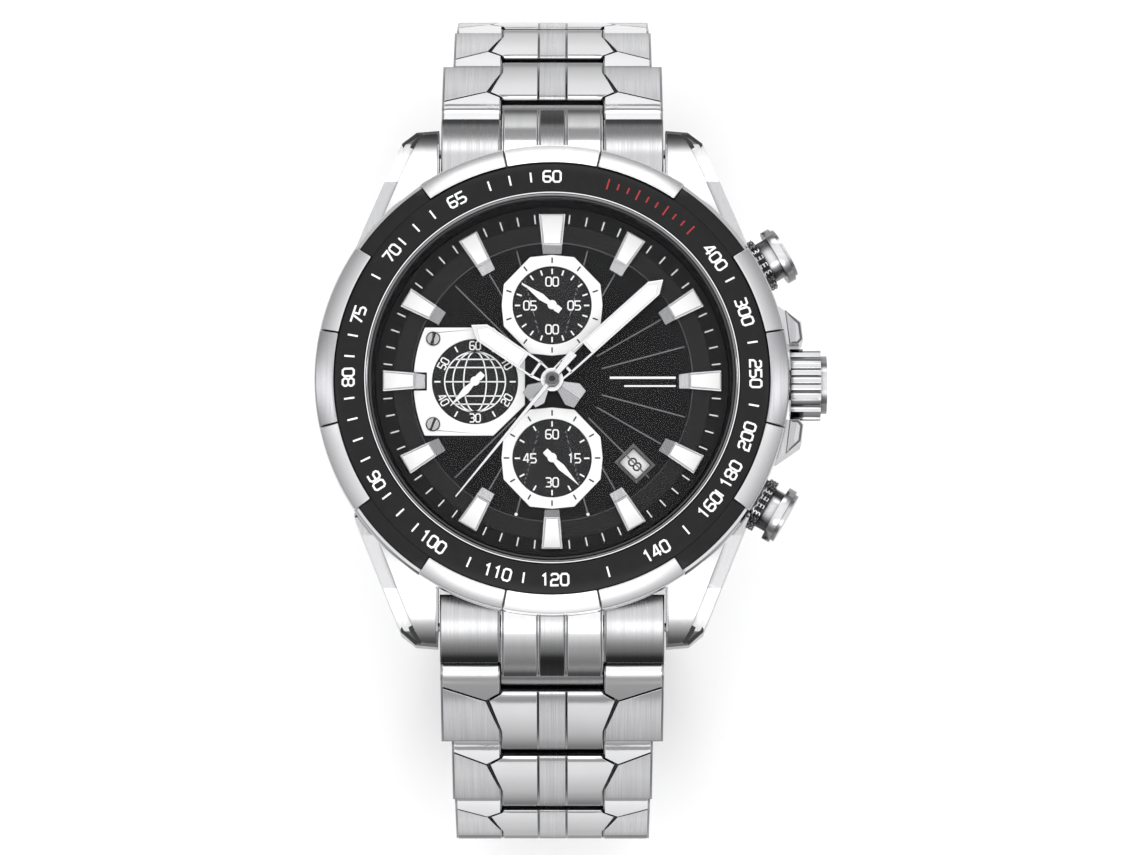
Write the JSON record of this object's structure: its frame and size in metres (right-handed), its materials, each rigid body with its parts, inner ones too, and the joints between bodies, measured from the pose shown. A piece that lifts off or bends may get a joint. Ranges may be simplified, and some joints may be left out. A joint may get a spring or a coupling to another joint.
{
  "type": "chronograph wristwatch",
  "caption": "Steel chronograph wristwatch with a black dial, three counters, tachymeter bezel, crown, pushers and a closed link bracelet.",
  "frame": {"origin": "centre of the clasp's outer face, which the closed watch rests on", "axes": "+Z out of the dial, +Y towards 12 o'clock, +X towards the crown"},
  "size_m": [0.0497, 0.0838, 0.0572],
  "materials": {
    "case_steel": "brushed and polished",
    "polished_steel": "polished",
    "bracelet_steel": "brushed with polished bands",
    "black_insert": "gloss",
    "crystal": "clear",
    "seal": "matt",
    "dial_black": "satin, grooved",
    "marker_lume": "polished frame with white inset",
    "white_lacquer": "satin",
    "hand_steel": "polished",
    "movement_brass": "satin",
    "holder_plastic": "matt",
    "inner_steel": "satin",
    "copper": "satin"
  },
  "bodies": {
    "case": {"mid_case": "case_steel", "case_back": "polished_steel", "case_back_gasket": "seal", "bezel": "polished_steel", "bezel_insert": "black_insert", "crystal": "crystal", "crystal_gasket": "seal", "rehaut": "black_insert", "dial": "dial_black", "hour_markers": "marker_lume", "upper_counter_ring": "white_lacquer", "lower_counter_ring": "white_lacquer", "small_seconds_plate": "white_lacquer", "plate_screws": "polished_steel", "date_window_frame": "polished_steel", "movement_plate": "movement_brass", "movement_holder": "holder_plastic", "battery": "inner_steel", "movement_bridge": "movement_brass", "coil": "copper", "crown_tube": "case_steel", "pusher_collars": "case_steel", "end_link_12": "bracelet_steel", "end_link_6": "bracelet_steel", "spring_bars": "inner_steel", "upper_pusher_spring": "inner_steel", "lower_pusher_spring": "inner_steel"},
    "hour_hand": {"hour_hand": "hand_steel"},
    "minute_hand": {"minute_hand": "hand_steel"},
    "chrono_seconds_hand": {"chrono_seconds_hand": "hand_steel"},
    "small_seconds_hand": {"small_seconds_hand": "white_lacquer"},
    "upper_counter_hand": {"upper_counter_hand": "white_lacquer"},
    "lower_counter_hand": {"lower_counter_hand": "white_lacquer"},
    "date_wheel": {"date_wheel": "white_lacquer"},
    "setting_lever": {"setting_lever": "inner_steel"},
    "crown": {"crown": "polished_steel", "winding_stem": "inner_steel"},
    "upper_pusher": {"upper_pusher": "polished_steel"},
    "lower_pusher": {"lower_pusher": "polished_steel"},
    "link_12_1": {"link_12_1": "bracelet_steel"},
    "link_12_2": {"link_12_2": "bracelet_steel"},
    "link_12_3": {"link_12_3": "bracelet_steel"},
    "link_12_4": {"link_12_4": "bracelet_steel"},
    "link_12_5": {"link_12_5": "bracelet_steel"},
    "link_12_6": {"link_12_6": "bracelet_steel"},
    "link_6_1": {"link_6_1": "bracelet_steel"},
    "link_6_2": {"link_6_2": "bracelet_steel"},
    "link_6_3": {"link_6_3": "bracelet_steel"},
    "link_6_4": {"link_6_4": "bracelet_steel"},
    "link_6_5": {"link_6_5": "bracelet_steel"},
    "link_6_6": {"link_6_6": "bracelet_steel"},
    "clasp_inner_blade": {"clasp_inner_blade": "bracelet_steel"},
    "clasp_middle_blade": {"clasp_middle_blade": "bracelet_steel"},
    "clasp_cover": {"clasp_cover": "bracelet_steel"},
    "clasp_button_left": {"clasp_button_left": "polished_steel"},
    "clasp_button_right": {"clasp_button_right": "polished_steel"}
  },
  "joints": [
    {"name": "small_seconds_turn", "type": "hinge", "parent": "case", "child": "small_seconds_hand", "pos_m": [-0.00748, 0, 0.05361], "axis": [0, 0, 1], "continuous": true},
    {"name": "minute_hand_turn", "type": "hinge", "parent": "case", "child": "minute_hand", "pos_m": [0, 0, 0.05361], "axis": [0, 0, 1], "continuous": true},
    {"name": "hour_hand_turn", "type": "hinge", "parent": "case", "child": "hour_hand", "pos_m": [0, 0, 0.05361], "axis": [0, 0, 1], "continuous": true},
    {"name": "date_wheel_turn", "type": "hinge", "parent": "case", "child": "date_wheel", "pos_m": [0, 0, 0.05361], "axis": [0, 0, 1], "continuous": true},
    {"name": "upper_counter_turn", "type": "hinge", "parent": "case", "child": "upper_counter_hand", "pos_m": [0, 0.0075, 0.05361], "axis": [0, 0, 1], "continuous": true},
    {"name": "chrono_seconds_turn", "type": "hinge", "parent": "case", "child": "chrono_seconds_hand", "pos_m": [0, 0, 0.05361], "axis": [0, 0, 1], "continuous": true},
    {"name": "lower_counter_turn", "type": "hinge", "parent": "case", "child": "lower_counter_hand", "pos_m": [0, -0.0075, 0.05361], "axis": [0, 0, 1], "continuous": true},
    {"name": "crown_pull", "type": "slide", "parent": "case", "child": "setting_lever", "axis": [1, 0, 0], "range_m": [0, 0.0015]},
    {"name": "crown_turn", "type": "hinge", "parent": "setting_lever", "child": "crown", "pos_m": [0.023, 0, 0.05141], "axis": [1, 0, 0], "continuous": true},
    {"name": "upper_pusher_press", "type": "slide", "parent": "case", "child": "upper_pusher", "axis": [-0.866, -0.5, 0], "range_m": [0, 0.001], "stiffness_N_per_m": 1500, "deforming": ["upper_pusher_spring"]},
    {"name": "lower_pusher_press", "type": "slide", "parent": "case", "child": "lower_pusher", "axis": [-0.866, 0.5, 0], "range_m": [0, 0.001], "stiffness_N_per_m": 1500, "deforming": ["lower_pusher_spring"]},
    {"name": "bracelet_12_unfold", "type": "hinge", "parent": "case", "child": "link_12_1", "pos_m": [0, 0.0272, 0.04581], "axis": [1, 0, 0], "range_deg": [0, 17]},
    {"name": "link_12_2_bend", "type": "hinge", "parent": "link_12_1", "child": "link_12_2", "pos_m": [0, 0.03286, 0.03856], "axis": [1, 0, 0], "range_deg": [0, 6]},
    {"name": "link_12_3_bend", "type": "hinge", "parent": "link_12_2", "child": "link_12_3", "pos_m": [0, 0.03774, 0.03075], "axis": [1, 0, 0], "range_deg": [0, 16]},
    {"name": "link_12_4_bend", "type": "hinge", "parent": "link_12_3", "child": "link_12_4", "pos_m": [0, 0.04027, 0.02191], "axis": [1, 0, 0], "range_deg": [0, 30]},
    {"name": "link_12_5_bend", "type": "hinge", "parent": "link_12_4", "child": "link_12_5", "pos_m": [0, 0.03805, 0.01298], "axis": [1, 0, 0], "range_deg": [0, 28]},
    {"name": "link_12_6_bend", "type": "hinge", "parent": "link_12_5", "child": "link_12_6", "pos_m": [0, 0.03189, 0.00615], "axis": [1, 0, 0], "range_deg": [0, 27]},
    {"name": "bracelet_6_unfold", "type": "hinge", "parent": "case", "child": "link_6_1", "pos_m": [0, -0.0272, 0.04581], "axis": [-1, 0, 0], "range_deg": [0, 17]},
    {"name": "link_6_2_bend", "type": "hinge", "parent": "link_6_1", "child": "link_6_2", "pos_m": [0, -0.03286, 0.03856], "axis": [-1, 0, 0], "range_deg": [0, 6]},
    {"name": "link_6_3_bend", "type": "hinge", "parent": "link_6_2", "child": "link_6_3", "pos_m": [0, -0.03774, 0.03075], "axis": [-1, 0, 0], "range_deg": [0, 16]},
    {"name": "link_6_4_bend", "type": "hinge", "parent": "link_6_3", "child": "link_6_4", "pos_m": [0, -0.04027, 0.02191], "axis": [-1, 0, 0], "range_deg": [0, 30]},
    {"name": "link_6_5_bend", "type": "hinge", "parent": "link_6_4", "child": "link_6_5", "pos_m": [0, -0.03805, 0.01298], "axis": [-1, 0, 0], "range_deg": [0, 28]},
    {"name": "link_6_6_bend", "type": "hinge", "parent": "link_6_5", "child": "link_6_6", "pos_m": [0, -0.03189, 0.00615], "axis": [-1, 0, 0], "range_deg": [0, 27]},
    {"name": "clasp_blade_swing", "type": "hinge", "parent": "link_12_6", "child": "clasp_inner_blade", "pos_m": [0, 0.0233, 0.00285], "axis": [1, 0, 0], "range_deg": [0, 35]},
    {"name": "clasp_blade_unfold", "type": "hinge", "parent": "clasp_inner_blade", "child": "clasp_middle_blade", "pos_m": [0, -0.016, 0.00215], "axis": [-1, 0, 0], "range_deg": [0, 80]},
    {"name": "clasp_cover_open", "type": "hinge", "parent": "clasp_middle_blade", "child": "clasp_cover", "pos_m": [0, 0.017, 0.00195], "axis": [1, 0, 0], "range_deg": [0, 160]},
    {"name": "clasp_button_left_press", "type": "slide", "parent": "clasp_cover", "child": "clasp_button_left", "axis": [1, 0, 0], "range_m": [0, 0.0006], "stiffness_N_per_m": 1500},
    {"name": "clasp_button_right_press", "type": "slide", "parent": "clasp_cover", "child": "clasp_button_right", "axis": [-1, 0, 0], "range_m": [0, 0.0006], "stiffness_N_per_m": 1500}
  ],
  "couplings": [
    {"joint": "link_12_2_bend", "follows": "bracelet_12_unfold", "ratio": 0.35294},
    {"joint": "link_12_3_bend", "follows": "bracelet_12_unfold", "ratio": 0.94118},
    {"joint": "link_12_4_bend", "follows": "bracelet_12_unfold", "ratio": 1.7647},
    {"joint": "link_12_5_bend", "follows": "bracelet_12_unfold", "ratio": 1.6471},
    {"joint": "link_12_6_bend", "follows": "bracelet_12_unfold", "ratio": 1.5882},
    {"joint": "link_6_2_bend", "follows": "bracelet_6_unfold", "ratio": 0.35294},
    {"joint": "link_6_3_bend", "follows": "bracelet_6_unfold", "ratio": 0.94118},
    {"joint": "link_6_4_bend", "follows": "bracelet_6_unfold", "ratio": 1.7647},
    {"joint": "link_6_5_bend", "follows": "bracelet_6_unfold", "ratio": 1.6471},
    {"joint": "link_6_6_bend", "follows": "bracelet_6_unfold", "ratio": 1.5882},
    {"joint": "hour_hand_turn", "follows": "minute_hand_turn", "ratio": 0.083333},
    {"joint": "date_wheel_turn", "follows": "minute_hand_turn", "ratio": 0.00067204},
    {"joint": "lower_counter_turn", "follows": "chrono_seconds_turn", "ratio": 0.016667},
    {"joint": "clasp_blade_unfold", "follows": "clasp_cover_open", "ratio": 0.5}
  ]
}
